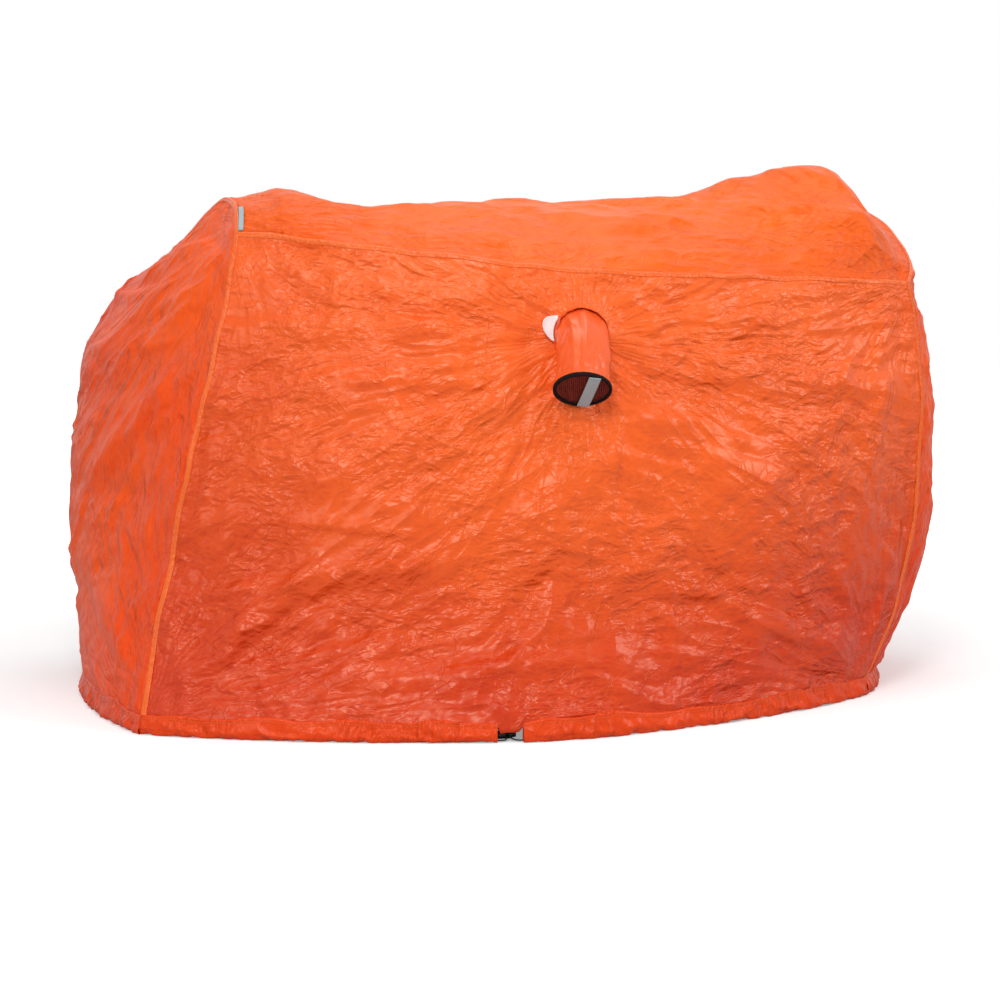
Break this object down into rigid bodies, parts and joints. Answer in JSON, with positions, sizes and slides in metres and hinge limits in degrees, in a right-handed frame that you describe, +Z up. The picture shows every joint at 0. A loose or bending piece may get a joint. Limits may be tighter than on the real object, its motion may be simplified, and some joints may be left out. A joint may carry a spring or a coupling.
{
  "type": "bothy bag",
  "caption": "Bottomless group shelter bag of thin orange cloth standing on its corded hem, with a drooping mesh-ended vent sleeve on one long wall",
  "frame": {"origin": "on the ground, in the middle of the bag's outline", "axes": "+X along the bag to the right of someone facing the vented front, -Y out of the front, +Z up"},
  "size_m": [1.5944, 1.1159, 0.9563],
  "materials": {
    "orange_cloth": "crinkled thin coated nylon with a soft sheen",
    "seam_cloth": "folded and stitched seam of the same nylon",
    "hem_cloth": "doubled nylon of the hem channel",
    "cord": "thin braided polyester cord",
    "lock_plastic": "moulded black plastic",
    "spring_steel": "bright spring wire",
    "mesh": "fine dark net",
    "binding": "black grosgrain binding",
    "webbing": "grey woven webbing",
    "label": "plain white satin label"
  },
  "bodies": {
    "bag": {"front_panel": "orange_cloth", "back_panel": "orange_cloth", "left_panel": "orange_cloth", "right_panel": "orange_cloth", "roof_panel": "orange_cloth", "corner_seam_front_left": "seam_cloth", "corner_seam_front_right": "seam_cloth", "corner_seam_back_right": "seam_cloth", "corner_seam_back_left": "seam_cloth", "roof_seam_front": "seam_cloth", "roof_seam_right": "seam_cloth", "roof_seam_back": "seam_cloth", "roof_seam_left": "seam_cloth", "hem_front_left": "hem_cloth", "hem_front_right": "hem_cloth", "hem_right": "hem_cloth", "hem_back": "hem_cloth", "hem_left": "hem_cloth", "hem_cord": "cord", "cord_tail_left": "cord", "cord_tail_right": "cord", "cord_knot": "cord", "vent_collar": "hem_cloth", "hang_loop": "webbing"},
    "vent": {"vent_sleeve": "orange_cloth", "vent_mesh": "mesh", "mesh_binding": "binding", "grab_strap": "webbing"},
    "label": {"care_label": "label"},
    "lock": {"lock_barrel": "lock_plastic", "lock_spring": "spring_steel"},
    "button": {"lock_plunger": "lock_plastic"}
  },
  "joints": [
    {"name": "vent_lift", "type": "hinge", "parent": "bag", "child": "vent", "pos_m": [0.00573, -0.37432, 0.69454], "axis": [-1, 0, 0], "range_deg": [0, 60]},
    {"name": "label_flap", "type": "hinge", "parent": "bag", "child": "label", "pos_m": [-0.04142, -0.383, 0.6626], "axis": [0.2924, 0.2675, 0.9181], "range_deg": [0, 30]},
    {"name": "lock_slide", "type": "slide", "parent": "bag", "child": "lock", "axis": [0, 1, 0], "range_m": [0, 0.045]},
    {"name": "button_press", "type": "slide", "parent": "lock", "child": "button", "axis": [-1, 0, 0], "range_m": [0, 0.004], "stiffness_N_per_m": 1500, "springref_m": -0.002, "deforming": ["lock_spring"]}
  ]
}
